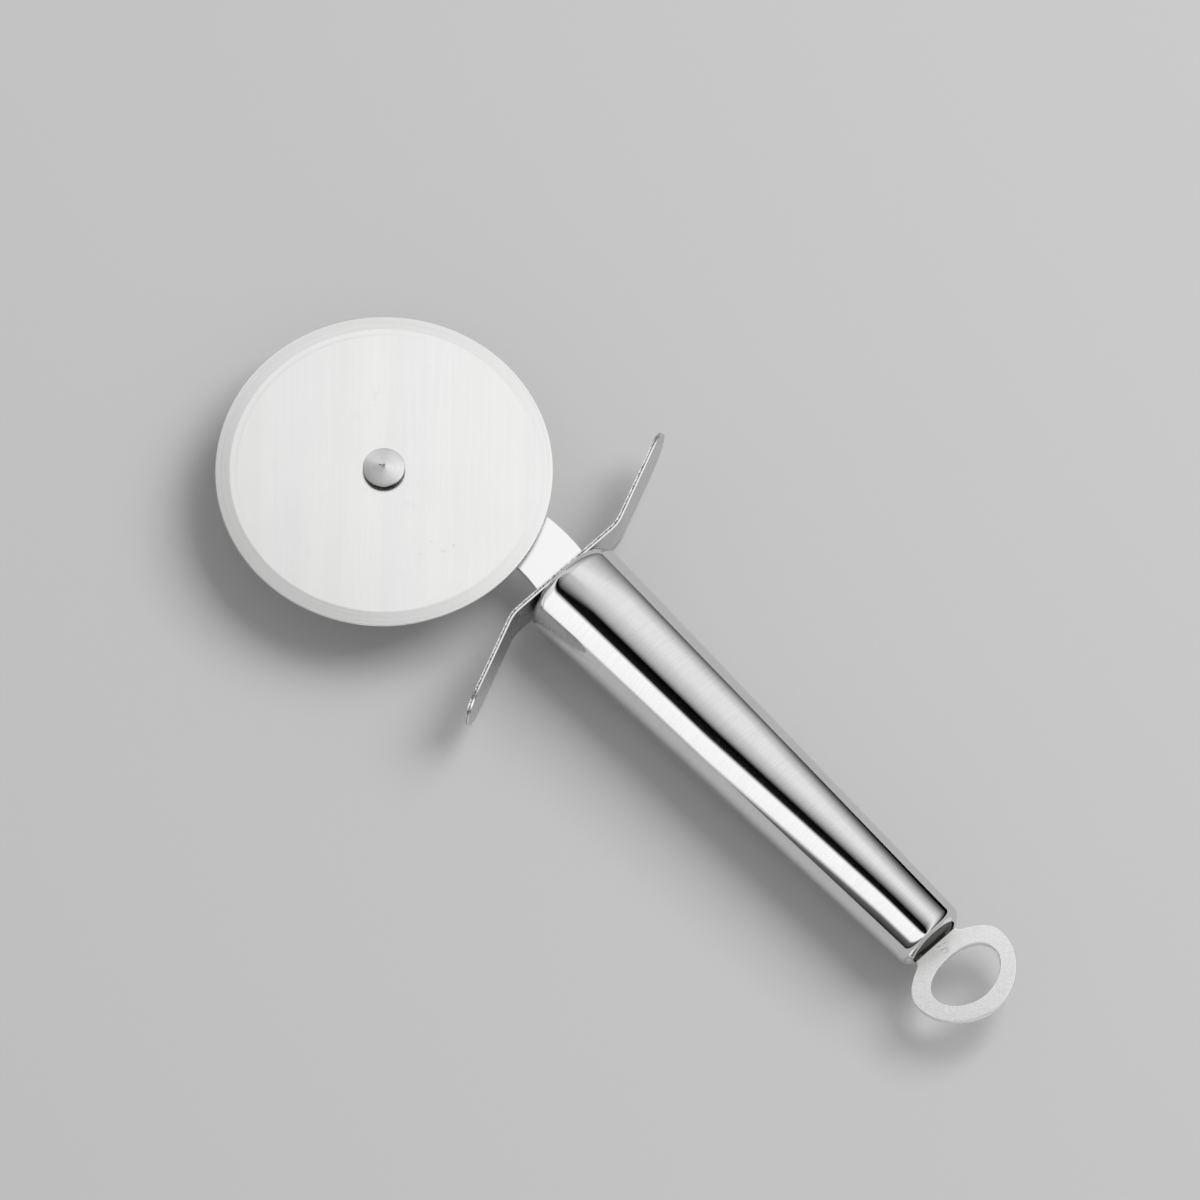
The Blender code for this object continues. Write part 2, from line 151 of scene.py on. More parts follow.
# %% [markdown]
# ## Writing nodes as sums
#
# A finish is a small calculation: so much brushing here, less near the edge, a stain there. Written
# as node links it is hard to read, and written as arithmetic it is easy. The class below wraps one
# output socket, and its operators add the Math nodes. One function adds every other kind of node.

# %% Make wires that can be added and multiplied
class Wire:
    """One output socket of a node, which can be used in sums like a number."""

    def __init__(self, tree, socket):
        self.tree = tree
        self.socket = socket

    def maths(self, operation, *others):
        sockets = dict(enumerate((self, *others)))
        return add_node(self.tree, "ShaderNodeMath", {"operation": operation}, sockets)

    def from_left(self, operation, left):
        return add_node(self.tree, "ShaderNodeMath", {"operation": operation}, {0: left, 1: self})

    def __add__(self, other):
        return self.maths("ADD", other)

    def __sub__(self, other):
        return self.maths("SUBTRACT", other)

    def __mul__(self, other):
        return self.maths("MULTIPLY", other)

    def __truediv__(self, other):
        return self.maths("DIVIDE", other)

    def __rsub__(self, other):
        return self.from_left("SUBTRACT", other)

    def __rtruediv__(self, other):
        return self.from_left("DIVIDE", other)

    __radd__ = __add__
    __rmul__ = __mul__


def add_node(tree, kind, settings=None, values=None, output=0):
    """Adds a node, sets it up, then feeds its sockets with numbers or wires."""
    node = tree.nodes.new(kind)
    for name, value in (settings or {}).items():
        setattr(node, name, value)
    for name, value in (values or {}).items():
        if isinstance(value, Wire):
            tree.links.new(value.socket, node.inputs[name])
        else:
            node.inputs[name].default_value = value
    return Wire(tree, node.outputs[output])


def ramp(value, start, end, curve="LINEAR"):
    """0 below start, 1 above end, and straight between them."""
    values = {"Value": value, "From Min": start, "From Max": end}
    return add_node(value.tree, "ShaderNodeMapRange", {"interpolation_type": curve}, values)


def smooth_step(value, start, end):
    """A ramp with soft ends."""
    return ramp(value, start, end, "SMOOTHSTEP")


def grain(place, scale, detail=3.0, roughness=0.5):
    """Soft noise from 0 to 1, finer with a larger scale."""
    values = {"Vector": place, "Scale": scale, "Detail": detail, "Roughness": roughness}
    return add_node(place.tree, "ShaderNodeTexNoise", None, values, "Fac")


print("wires are ready")

# %% [markdown]
# ## Bare steel
#
# All pieces share one base: a metal with no coat, nearly white where it is polished. Each finish then
# varies three things over the surface: how light the steel is, how rough it is, and how its fine
# marks tilt the surface. The marks are a Bump, because they are far finer than any mesh.

# %% Make the base steel
def vector_maths(operation, place, other):
    return add_node(place.tree, "ShaderNodeVectorMath", {"operation": operation}, {0: place, 1: other})


def start_material(name, origin):
    """A material without nodes, and the object's own coordinates in it, in metres from a point."""
    material = bpy.data.materials.new(name)
    material.use_nodes = True
    material.node_tree.nodes.clear()
    place = add_node(material.node_tree, "ShaderNodeTexCoord", output="Object")
    return material, vector_maths("SUBTRACT", place, Vector(origin))


def finish_steel(material, light, roughness, height, depth, tint=(1.0, 1.0, 1.0)):
    """Joins a lightness, a roughness and marks of a height, times a depth in metres, into one metal."""
    tree = material.node_tree
    red, green, blue = [light * share for share in tint]
    colour = add_node(tree, "ShaderNodeCombineColor", None, {"Red": red, "Green": green, "Blue": blue})
    marks = {"Height": height, "Distance": depth, "Strength": 1.0}
    normal = add_node(tree, "ShaderNodeBump", None, marks)
    metal = {"Base Color": colour, "Metallic": 1.0, "Roughness": roughness, "Normal": normal}
    add_output(add_node(tree, "ShaderNodeBsdfPrincipled", None, metal))
    return material


def add_output(shader):
    output = shader.tree.nodes.new("ShaderNodeOutputMaterial")
    shader.tree.links.new(shader.socket, output.inputs["Surface"])


def stretched(place, scale, angle):
    """Coordinates turned about Z, then squeezed, so that noise becomes long strokes."""
    about_z = {"rotation_type": "Z_AXIS"}
    turned = add_node(place.tree, "ShaderNodeVectorRotate", about_z, {"Vector": place, "Angle": angle})
    return vector_maths("MULTIPLY", turned, scale)


def split(place):
    """The three coordinates of a place as wires of their own."""
    node = place.tree.nodes.new("ShaderNodeSeparateXYZ")
    place.tree.links.new(place.socket, node.inputs[0])
    return [Wire(place.tree, socket) for socket in node.outputs]


def joined(x, y, z):
    return add_node(x.tree, "ShaderNodeCombineXYZ", None, {"X": x, "Y": y, "Z": z})


def length(*sides):
    """The length of the diagonal of these sides."""
    total = sides[0] * sides[0]
    for side in sides[1:]:
        total = total + side * side
    return total.maths("SQRT")


def band(value, middle, half_width, softness):
    """1 within half a width of the middle, and 0 further off."""
    return 1.0 - smooth_step((value - middle).maths("ABSOLUTE"), half_width, half_width + softness)


print("base steel is ready")

# %% [markdown]
# ## The blade's finish
#
# The blade is cut from brushed sheet, so its face carries straight strokes all one way, in faint wide
# bands, some of them a little warmer, with a few rubbed spots and scuffs. The cutting edge is ground
# afterwards while the blade turns, so the ring along the rim carries round strokes. One finish does
# both and changes over at the bevel.

# %% Make the blade's finish
BEVEL_WIDTH = 0.0028
BRUSH_TURN = math.radians(44.0)
BLADE_MARKS = 0.0000016
RIM_RADIUS = (blade_high.x - blade_low.x) / 2


def ground_blade():
    material, centred = start_material("ground_blade", AXLE)
    x, y, _ = split(centred)
    radius = length(x, y)
    bevel_start = RIM_RADIUS - BEVEL_WIDTH
    on_bevel = smooth_step(radius, bevel_start - 0.00008, bevel_start + 0.00008)
    strokes = grain(stretched(centred, (40.0, 1500.0, 1.0), BRUSH_TURN), 1.0, 4.0, 0.7)
    bands = grain(stretched(centred, (7.0, 150.0, 1.0), BRUSH_TURN), 1.0, 2.0, 0.5)
    clouds = grain(centred, 55.0, 3.0)
    rings = grain(joined(radius * 2300.0, x / radius * 0.9, y / radius * 0.9), 1.0, 3.0, 0.6)
    rubbed = smooth_step(grain(centred, 170.0, 5.0, 0.65), 0.64, 0.76)
    on_left = smooth_step(clouds - x / radius * 0.5, 0.6, 1.0)
    shoulder = band(radius, bevel_start - 0.0012, 0.00010, 0.00035) * on_left
    lip = smooth_step(radius, RIM_RADIUS - 0.00035, RIM_RADIUS - 0.00020)
    face_light = 0.885 + (bands - 0.5) * 0.09 + (clouds - 0.5) * 0.06 + (strokes - 0.5) * 0.09
    scuffed_area = smooth_step(grain(centred, 75.0, 2.0), 0.60, 0.68)
    scuffs = smooth_step(grain(centred, 1300.0, 3.0, 0.6), 0.60, 0.68) * scuffed_area
    face_light = face_light - rubbed * 0.06 - shoulder * 0.045 - scuffs * 0.10
    edge_light = 0.91 + (rings - 0.5) * 0.20 + (clouds - 0.5) * 0.05 + (strokes - 0.5) * 0.05
    edge_light = edge_light + lip * 0.09
    light = face_light + (edge_light - face_light) * on_bevel
    face_rough = 0.24 + (strokes - 0.5) * 0.08 + rubbed * 0.05
    edge_rough = 0.30 + (rings - 0.5) * 0.10
    roughness = face_rough + (edge_rough - face_rough) * on_bevel
    height = strokes * 0.5 + (rings * 1.2 - strokes * 0.5) * on_bevel
    warm = smooth_step(grain(stretched(centred, (9.0, 75.0, 1.0), BRUSH_TURN), 1.0, 2.0), 0.35, 0.70)
    tint = (1.0, 1.0 - warm * 0.002, 1.0 - warm * 0.022 - scuffs * 0.05)
    return finish_steel(material, light, roughness, height, BLADE_MARKS, tint)


blade_steel = ground_blade()
print("made", blade_steel.name)

# %% [markdown]
# ## The handle's finish
#
# The handle is polished and then brushed round and round with a fine belt, which leaves hair lines
# across its length. Along the handle the reflections stay broken up, and round it they stay crisp.

# %% Make the handle's finish
HANDLE_MARKS = 0.0000007


def brushed_handle():
    material, centred = start_material("brushed_handle", HANDLE_MIDDLE)
    x, y, z = split(centred)
    radius = length(y, z)
    lines = grain(joined(x * 3600.0, y / radius * 1.6, z / radius * 1.6), 1.0, 3.0, 0.7)
    belts = grain(joined(x * 1100.0, y / radius * 1.1, z / radius * 1.1), 1.0, 3.0, 0.6)
    clouds = grain(centred, 60.0, 3.0)
    light = 0.74 + (belts - 0.5) * 0.07 + (lines - 0.5) * 0.15 + (clouds - 0.5) * 0.04
    roughness = 0.06 + (belts - 0.5) * 0.03 + (lines - 0.5) * 0.03
    return finish_steel(material, light, roughness, lines + belts, HANDLE_MARKS)


handle_steel = brushed_handle()
print("made", handle_steel.name)

# %% [markdown]
# ## The finishes of the small pieces
#
# The arm, the washer and the guard are stamped from satin sheet, which has short strokes along the
# sheet, a few scratches from handling, and specks. The ring starts from the same lightness.

# %% Make the satin sheet finish
ARM_MARKS = 0.0000003
WASHER_MARKS = 0.000002
SCRATCH_TURN = 0.9


def satin(centred, lightness, rough, angle):
    """The lightness, roughness and height of satin sheet with strokes one way and a few scratches."""
    strokes = grain(stretched(centred, (120.0, 2200.0, 120.0), angle), 1.0, 4.0, 0.7)
    clouds = grain(centred, 120.0, 4.0, 0.6)
    hairs = grain(stretched(centred, (200.0, 2400.0, 200.0), angle + SCRATCH_TURN), 1.0, 2.0)
    scratches = smooth_step(hairs, 0.70, 0.78)
    specks = smooth_step(grain(centred, 1100.0, 2.0), 0.72, 0.80)
    light = lightness + (clouds - 0.5) * 0.05 + (strokes - 0.5) * 0.03
    light = light - scratches * 0.05 - specks * 0.10
    roughness = rough + (strokes - 0.5) * 0.10 + (clouds - 0.5) * 0.05
    return light, roughness, strokes * 0.6 - scratches * 0.4


def satin_arm():
    material, centred = start_material("satin_arm", ARM_MIDDLE)
    light, roughness, height = satin(centred, 0.97, 0.25, BRUSH_TURN)
    return finish_steel(material, light, roughness, height, ARM_MARKS)


def plain_washer():
    material, centred = start_material("plain_washer", AXLE)
    light, roughness, height = satin(centred, 0.62, 0.34, 0.0)
    return finish_steel(material, light, roughness, height, WASHER_MARKS)


arm_steel = satin_arm()
washer_steel = plain_washer()
print("made", arm_steel.name, "and", washer_steel.name)

# %% [markdown]
# The guard was sheared from strip. A sheared edge has two parts, a smooth one where the blade of the
# shears pushed in and a speckled one where the sheet broke, and a dark line runs between them. The
# line follows the middle of the sheet, so the finish works out how far a point is from that middle:
# along the flat, round the bends, which are taken in opposite ways, and out along the wings.

# %% Make the guard's finish
GUARD_FLAT_LENGTH = 0.0276
GUARD_BEND = math.radians(23.7)
GUARD_BEND_RADIUS = 0.008
GUARD_HALF_FLAT = GUARD_FLAT_LENGTH / 2 - GUARD_BEND_RADIUS * math.tan(GUARD_BEND / 2)
GUARD_MARKS = 0.000001
LINE_WAVES = 0.00040
LINE_SHIFT = 0.00004
LINE_HALF_WIDTH = 0.00010
guard_low, guard_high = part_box("finger_guard")
guard_middle = (guard_low + guard_high) / 2


def sheared_guard():
    material, centred = start_material("sheared_guard", guard_middle)
    x, y, _ = split(centred)
    light, roughness, height = satin(centred, 0.60, 0.28, math.radians(90.0))
    past_flat = (y.maths("ABSOLUTE") - GUARD_HALF_FLAT).maths("MAXIMUM", 0.0)
    on_bend = past_flat.maths("MINIMUM", GUARD_BEND_RADIUS * math.sin(GUARD_BEND))
    bend_offset = GUARD_BEND_RADIUS - (GUARD_BEND_RADIUS ** 2 - on_bend * on_bend).maths("SQRT")
    wing_offset = (past_flat - on_bend) * math.tan(GUARD_BEND)
    off_middle = x + y.maths("SIGN") * (bend_offset + wing_offset)
    torn = grain(centred, 3000.0, 3.0, 0.70)
    wavy = off_middle + (torn - 0.5) * LINE_WAVES + LINE_SHIFT
    line = band(wavy, 0.0, LINE_HALF_WIDTH, LINE_HALF_WIDTH)
    speckle = smooth_step(torn, 0.46, 0.60) * (1.0 - smooth_step(off_middle, 0.0, 0.00030))
    cut = 1.0 - smooth_step(off_middle.maths("ABSOLUTE"), 0.00034, 0.00042)
    light = light + cut * (0.35 - line * 0.46 - speckle * 0.44)
    roughness = roughness + line * 0.2
    return finish_steel(material, light, roughness, height - line * 2.0, GUARD_MARKS)


guard_steel = sheared_guard()
print("made", guard_steel.name)

# %% [markdown]
# The ring was stamped, then tumbled, so its edges are round and worn and its faces are finely mottled,
# and a painted highlight brightens the worn edges. Near the neck it is dirty and gouged from the work
# of fixing it in the cap, and a painted shadow line darkens it where it goes in.

# %% Make the ring's finish
RING_LENGTH = 0.01735
RING_MARKS = 0.0000005
GOUGED_SPOT = (0.0016, 0.0006)
ring_middle = (ring_low + ring_high) / 2
ring_start = ring_high.x - RING_LENGTH


def tumbled_ring():
    ring_foot = (ring_start, ring_middle.y, ring_middle.z)
    material, centred = start_material("tumbled_ring", ring_foot)
    x, y, _ = split(centred)
    light, _, _ = satin(centred, 0.93, 0.27, 0.7)
    edge_mark = {"attribute_name": "near_edge"}
    edge_wear_and_highlight = add_node(centred.tree, "ShaderNodeAttribute", edge_mark, output="Fac")
    on_face = 1.0 - edge_wear_and_highlight * 0.9
    tumbled = (grain(centred, 1700.0, 4.0, 0.75) - 0.5) * on_face
    near_neck = 1.0 - smooth_step(x, 0.0008, 0.0052)
    dirt = smooth_step(grain(centred, 420.0, 5.0, 0.7), 0.40, 0.70) * near_neck
    gouges = grain(stretched(centred, (2200.0, 420.0, 1.0), 0.4), 1.0, 3.0, 0.6)
    from_spot = length(x - GOUGED_SPOT[0], y - GOUGED_SPOT[1])
    gouges = smooth_step(gouges, 0.50, 0.59) * (1.0 - smooth_step(from_spot, 0.0005, 0.0017))
    # Painted shadow: a thin dark line in the ring's colour where the neck goes into the cap.
    painted_seam_shadow = 1.0 - smooth_step(x, 0.00012, 0.00026)
    # The rounded edges get a painted highlight in their colour, on top of the tumbling's wear.
    light = light + tumbled * 0.40 + edge_wear_and_highlight * 0.12 - dirt * 0.08 - gouges * 0.42
    light = light * (1.0 - painted_seam_shadow * 0.85)
    tint = (1.0, 1.0 - dirt * 0.006, 1.0 - dirt * 0.03)
    roughness = 0.28 + tumbled * 0.12
    return finish_steel(material, light, roughness, tumbled - gouges * 2.0, RING_MARKS, tint)


ring_steel = tumbled_ring()
print("made", ring_steel.name)

# %% [markdown]
# The rivet's head was turned on a lathe, which leaves fine circles, and parted off at the tip, which
# leaves a nub with a torn burr beside it. The burr lies at an angle, so its place is worked out along
# and across it. The cap was never polished, so it stayed dull, pitted and brown, with faint ribs.

# %% Make the rivet's and the cap's finishes
RIVET_MARKS = 0.000002
CAP_MARKS = 0.000006
CAP_TINT = (1.0, 0.975, 0.92)
BURR_ALONG = (0.87, 0.49)
BURR_DISTANCE = 0.00072
rivet_radius = (rivet_high.x - rivet_low.x) / 2


def turned_rivet():
    material, centred = start_material("turned_rivet", AXLE)
    x, y, z = split(centred)
    radius = length(x, y)
    circles = grain(joined(radius * 3600.0, z * 900.0, x / radius * 0.4), 1.0, 3.0, 0.6)
    clouds = grain(centred, 500.0, 3.0)
    along = x * BURR_ALONG[0] + y * BURR_ALONG[1]
    across = y * BURR_ALONG[0] - x * BURR_ALONG[1]
    nub = 1.0 - smooth_step(radius, 0.00013, 0.00023)
    from_burr = length((along + BURR_DISTANCE) * 0.45, across + (clouds - 0.5) * 0.0005)
    burr = 1.0 - smooth_step(from_burr, 0.00010, 0.00018)
    marks = (nub + burr * 0.8).maths("MINIMUM", 1.0)
    # Painted shade: the colour of the head's side wall is made almost black, for the shaded wall.
    wall = smooth_step(radius, rivet_radius - 0.00005, rivet_radius - 0.00001)
    light = 0.82 + (circles - 0.5) * 0.20 + (clouds - 0.5) * 0.08 - marks * 0.76
    light = light * (1.0 - wall * 0.97)
    roughness = 0.22 + (circles - 0.5) * 0.12
    return finish_steel(material, light, roughness, circles, RIVET_MARKS)


def dull_cap():
    material, centred = start_material("dull_cap", (cap_low + cap_high) / 2)
    clouds = grain(centred, 600.0, 4.0, 0.65)
    pits = smooth_step(grain(centred, 2600.0, 2.0), 0.60, 0.70)
    _, y, _ = split(centred)
    ribs = (y * 9000.0).maths("SINE")
    light = 0.088 + (clouds - 0.5) * 0.07 - pits * 0.02 + ribs * 0.012
    roughness = 0.42 + (clouds - 0.5) * 0.14
    return finish_steel(material, light, roughness, clouds - pits, CAP_MARKS, CAP_TINT)


rivet_steel = turned_rivet()
cap_steel = dull_cap()
print("made", rivet_steel.name, "and", cap_steel.name)

# %% [markdown]
# ## Turned pieces
#
# The blade, the rivet, the handle and the cap are all round about one line, so each follows the same
# rule: take a profile and carry it round. The solid model does it with few steps, which would show as
# flats in a shiny reflection. Here a Geometry Nodes tree makes a grid with one row for each point of
# the profile and one column for each step, and moves every grid point to its place on the circle.

# %% Build the turning tree
def turning_tree():
    """Carries the profile that the object holds, drawn as radius and height, round the Z axis."""
    tree = bpy.data.node_groups.new("turn_a_profile", "GeometryNodeTree")
    face = tree.interface
    face.new_socket("Profile", in_out="INPUT", socket_type="NodeSocketGeometry")
    steps = face.new_socket("Steps round", in_out="INPUT", socket_type="NodeSocketInt")
    weld = face.new_socket("Weld distance", in_out="INPUT", socket_type="NodeSocketFloat")
    finish = face.new_socket("Finish", in_out="INPUT", socket_type="NodeSocketMaterial")
    face.new_socket("Turned", in_out="OUTPUT", socket_type="NodeSocketGeometry")
    given = tree.nodes.new("NodeGroupInput")
    profile, around, weld_by, material = [Wire(tree, socket) for socket in given.outputs[:4]]

    rows = add_node(tree, "GeometryNodeAttributeDomainSize", None, {"Geometry": profile})
    counts = {"Size X": 1.0, "Size Y": 1.0, "Vertices X": rows, "Vertices Y": around + 1}
    grid = add_node(tree, "GeometryNodeMeshGrid", None, counts)
    index = add_node(tree, "GeometryNodeInputIndex")
    row = (index / (around + 1)).maths("FLOOR")
    column = index - row * (around + 1)
    angle = column / around * (2 * math.pi)
    place = add_node(tree, "GeometryNodeInputPosition")
    of_vectors = {"data_type": "FLOAT_VECTOR"}
    at_row = {"Geometry": profile, "Value": place, "Index": row}
    point = add_node(tree, "GeometryNodeSampleIndex", of_vectors, at_row)
    radius, _, height = split(point)
    circle = joined(radius * angle.maths("COSINE"), radius * angle.maths("SINE"), height)
    moved = add_node(tree, "GeometryNodeSetPosition", None, {"Geometry": grid, "Position": circle})
    close = {"Geometry": moved, "Distance": weld_by}
    welded = add_node(tree, "GeometryNodeMergeByDistance", None, close)
    real = add_node(tree, "GeometryNodeRealizeInstances", None, {"Geometry": welded})
    dressed = add_node(tree, "GeometryNodeSetMaterial", None, {"Geometry": real, "Material": material})
    result = tree.nodes.new("NodeGroupOutput")
    tree.links.new(dressed.socket, result.inputs[0])
    return tree, {"steps": steps.identifier, "weld": weld.identifier, "finish": finish.identifier}


turn_tree, turn_inputs = turning_tree()
print("turning tree has", len(turn_tree.nodes), "nodes")

# %% [markdown]
# One function uses the tree. It draws the profile as a chain of edges, runs the tree, keeps the plain
# mesh that comes out, and puts the piece in its place. A flipped profile would turn the piece inside
# out, so its faces are made to point outwards. Faces that are level, or over 20 square millimetres,
# stay flat, so that the shading of a round rim doesn't run across them.

# %% Turn a profile into a piece
SHARP_ANGLE = math.radians(32.0)
FLAT_AREA = 0.00002
LEVEL_NORMAL = 0.99999
WELD = 0.000001


def place_and_shade(name, mesh, place, outwards=True):
    """Moves a mesh into the cutter's frame and leaves its object at the origin."""
    mesh.transform(place)
    tidy = bmesh.new()
    tidy.from_mesh(mesh)
    if outwards:
        bmesh.ops.recalc_face_normals(tidy, faces=tidy.faces)
    tidy.to_mesh(mesh)
    tidy.free()
    mesh.shade_smooth()
    mesh.set_sharp_from_angle(angle=SHARP_ANGLE)
    for face in mesh.polygons:
        face.use_smooth = face.area < FLAT_AREA and abs(face.normal.z) < LEVEL_NORMAL
    print(name, "has", len(mesh.polygons), "faces")
    return add_object(name, mesh)


def evaluated_mesh(obj):
    return bpy.data.meshes.new_from_object(obj.evaluated_get(bpy.context.evaluated_depsgraph_get()))


def turn(name, profile, steps, finish, place):
    """A piece turned from a list of (radius, height) points."""
    chain = bpy.data.meshes.new(name + "_profile")
    edges = [(i, i + 1) for i in range(len(profile) - 1)]
    chain.from_pydata([(radius, 0.0, height) for radius, height in profile], edges, [])
    blank = add_object(name + "_blank", chain)
    lathe = blank.modifiers.new("Turn", "NODES")
    lathe.node_group = turn_tree
    lathe[turn_inputs["steps"]] = steps
    lathe[turn_inputs["weld"]] = WELD
    lathe[turn_inputs["finish"]] = finish
    mesh = evaluated_mesh(blank)
    bpy.data.objects.remove(blank)
    return place_and_shade(name, mesh, place)


def arc(centre, radius, start, end, steps):
    """Points on an arc between two angles in degrees, both ends included."""
    angles = [math.radians(start + (end - start) * i / steps) for i in range(steps + 1)]
    return [(centre[0] + radius * math.cos(a), centre[1] + radius * math.sin(a)) for a in angles]


print("pieces can be turned")

# %% [markdown]
# ## The blade
#
# On the real blade the bevel meets the flat face at a soft shoulder that the grinding wheel leaves,
# not at a hard line. The profile rounds that shoulder and the thin cutting edge a little.

# %% Turn the blade
EDGE_THICKNESS = 0.00015
AXLE_RADIUS = 0.0025
RUNNING_GAP = 0.0003
BORE_CHAMFER = 0.00005
SHOULDER_SOFTNESS = 0.00010
BLADE_STEPS = 256


def blade_profile():
    half = (blade_high.z - blade_low.z) / 2
    half_edge = EDGE_THICKNESS / 2
    bore = AXLE_RADIUS + RUNNING_GAP
    shoulder = RIM_RADIUS - BEVEL_WIDTH
    softness = SHOULDER_SOFTNESS
    slope = (half - half_edge) / BEVEL_WIDTH
    top = [
        (bore + BORE_CHAMFER, half),
        (bore + 3 * BORE_CHAMFER, half),
        (shoulder - 2 * softness, half),
        (shoulder - softness, half),
        (shoulder, half - 0.25 * softness * slope),
        (shoulder + softness, half - softness * slope),
        (shoulder + 2 * softness, half - 2 * softness * slope),
        (RIM_RADIUS - 3 * half_edge, half_edge + 3 * half_edge * slope),
        (RIM_RADIUS - half_edge, half_edge + half_edge * slope),
        (RIM_RADIUS, half_edge * 0.5),
    ]
    low = [(radius, -height) for radius, height in reversed(top)]
    upper_end = (bore, half - BORE_CHAMFER)
    lower_end = (bore, -half + BORE_CHAMFER)
    return [upper_end] + top + low + [lower_end, upper_end]


blade_place = Matrix.Translation((AXLE.x, AXLE.y, (blade_low.z + blade_high.z) / 2))
blade = turn("blade", blade_profile(), BLADE_STEPS, blade_steel, blade_place)
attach(blade, "wheel")
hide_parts("cutting_wheel")

# %% [markdown]
# ## The rivet
#
# The rivet's head is a flat cone on a short wall. The lathe parted it off at the tip, which leaves a
# tiny nub. Its underside and its peened tail are seen only from below.

# %% Turn the rivet
HEAD_WALL = 0.0009
CONE_HEIGHT = 0.0009
NUB_RADIUS = 0.00028
NUB_HEIGHT = 0.00012
HEAD_SOFTNESS = 0.00012
TAIL_RADIUS = 0.0039
TAIL_HEIGHT = 0.0013
TAIL_STEPS = 15
RIVET_STEPS = 128


def rivet_profile():
    head = rivet_radius
    top = rivet_high.z
    wall_top = top - NUB_HEIGHT - CONE_HEIGHT
    slope = math.degrees(math.atan2(CONE_HEIGHT, head))
    nub = arc((0.0, top - NUB_RADIUS), NUB_RADIUS, 90.0, 45.0, 4)
    for radius in (NUB_RADIUS * 1.5, NUB_RADIUS * 1.8, head * 0.5, head - 2.5 * HEAD_SOFTNESS):
        nub.append((radius, top - NUB_HEIGHT - radius * CONE_HEIGHT / head))
    shoulder = arc((head - HEAD_SOFTNESS, wall_top - HEAD_SOFTNESS), HEAD_SOFTNESS, 90.0 - slope, 0.0, 6)
    tail_top = rivet_low.z + TAIL_HEIGHT
    angles = [math.radians(90.0 / TAIL_STEPS * i) for i in range(TAIL_STEPS)]
    tail = [(TAIL_RADIUS * math.cos(a), tail_top - TAIL_HEIGHT * math.sin(a)) for a in angles]
    underside = wall_top - HEAD_WALL
    return (
        nub + shoulder
        + [(head, underside), (AXLE_RADIUS, underside), (AXLE_RADIUS, tail_top)]
        + tail + [(0.0, rivet_low.z)]
    )


rivet_place = Matrix.Translation((AXLE.x, AXLE.y, 0.0))
rivet = turn("rivet", rivet_profile(), RIVET_STEPS, rivet_steel, rivet_place)
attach(rivet, "handle")
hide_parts("axle_rivet")

# %% [markdown]
# ## The handle
#
# The handle is drawn from tube: a straight taper, closed and rounded in front, and rolled inwards at
# the butt. Its outside is turned as an open skin, Solidify gives it the wall, and a Boolean cuts the
# slot that the arm's tang goes in by.

# %% Turn the handle
HANDLE_WALL = 0.0008
FRONT_ROUNDING = 0.0030
BUTT_ROUNDING = 0.0021
BUTT_RADIUS = 0.0074
FRONT_RADIUS = 0.01055
SLOT_SIZE = (0.004, 0.0123, 0.0021)
SIDE_STEPS = 12
HANDLE_STEPS = 192
ALONG_HANDLE = Matrix.Rotation(math.radians(90.0), 4, "Y")


def shared_out(start, end, steps):
    """The points that share out a straight line, without its ends."""
    (x, y), (far_x, far_y) = start, end
    return [(x + (far_x - x) * i / steps, y + (far_y - y) * i / steps) for i in range(1, steps)]


def handle_profile(handle_length):
    butt = (BUTT_RADIUS - BUTT_ROUNDING, handle_length - BUTT_ROUNDING)
    front = (FRONT_RADIUS - FRONT_ROUNDING, FRONT_ROUNDING)
    taper = math.degrees(math.atan2(FRONT_RADIUS - BUTT_RADIUS, butt[1] - front[1]))
    rolled = arc(butt, BUTT_ROUNDING, 90.0, taper, 20)
    rounded = arc(front, FRONT_ROUNDING, taper, -90.0, 24)
    side = shared_out(rolled[-1], rounded[0], SIDE_STEPS)
    return rolled + side + rounded + [(0.0, 0.0)]


def cut_slot(piece, middle, size):
    """Cuts a box out of a piece for good."""
    block = bmesh.new()
    place = Matrix.Translation(middle) @ Matrix.Diagonal((*size, 1.0))
    bmesh.ops.create_cube(block, size=1.0, matrix=place)
    cutter = add_object("slot", finished_mesh("slot", block))
    cut = piece.modifiers.new("Slot", "BOOLEAN")
    cut.operation = "DIFFERENCE"
    cut.object = cutter
    cut.solver = "EXACT"
    result = evaluated_mesh(piece)
    piece.modifiers.clear()
    piece.data = result
    bpy.data.objects.remove(cutter)


handle_place = Matrix.Translation((handle_low.x, HANDLE_MIDDLE.y, HANDLE_MIDDLE.z)) @ ALONG_HANDLE
handle_shape = handle_profile(handle_high.x - handle_low.x)
handle = turn("handle", handle_shape, HANDLE_STEPS, handle_steel, handle_place)
wall = handle.modifiers.new("Wall", "SOLIDIFY")
wall.thickness = HANDLE_WALL
wall.offset = -1.0
wall.use_even_offset = True
cut_slot(handle, (handle_low.x, HANDLE_MIDDLE.y, ARM_MIDDLE.z), SLOT_SIZE)
handle.data.set_sharp_from_angle(angle=SHARP_ANGLE)
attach(handle, "handle")
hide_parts("handle_shell")

# %% [markdown]
# ## The cap
#
# The cap sits in the butt's opening, just inside the roll. It is a disc, very slightly domed. The
# ring's tongue was pressed through it so tightly that no slot shows, so none is cut here.

# %% Turn the cap
CAP_DOME = 0.0002
CAP_SOFTNESS = 0.00012
DOME_STEPS = 6
CAP_STEPS = 96


def cap_profile(radius, height):
    dome = [
        (radius * i / DOME_STEPS, height - CAP_DOME * (i / DOME_STEPS) ** 2)
        for i in range(DOME_STEPS)
    ]
    outer = arc((radius - CAP_SOFTNESS, height - CAP_DOME - CAP_SOFTNESS), CAP_SOFTNESS, 90.0, 0.0, 4)
    inner = arc((radius - CAP_SOFTNESS, CAP_SOFTNESS), CAP_SOFTNESS, 0.0, -90.0, 4)
    return dome + outer + inner + [(0.0, 0.0)]


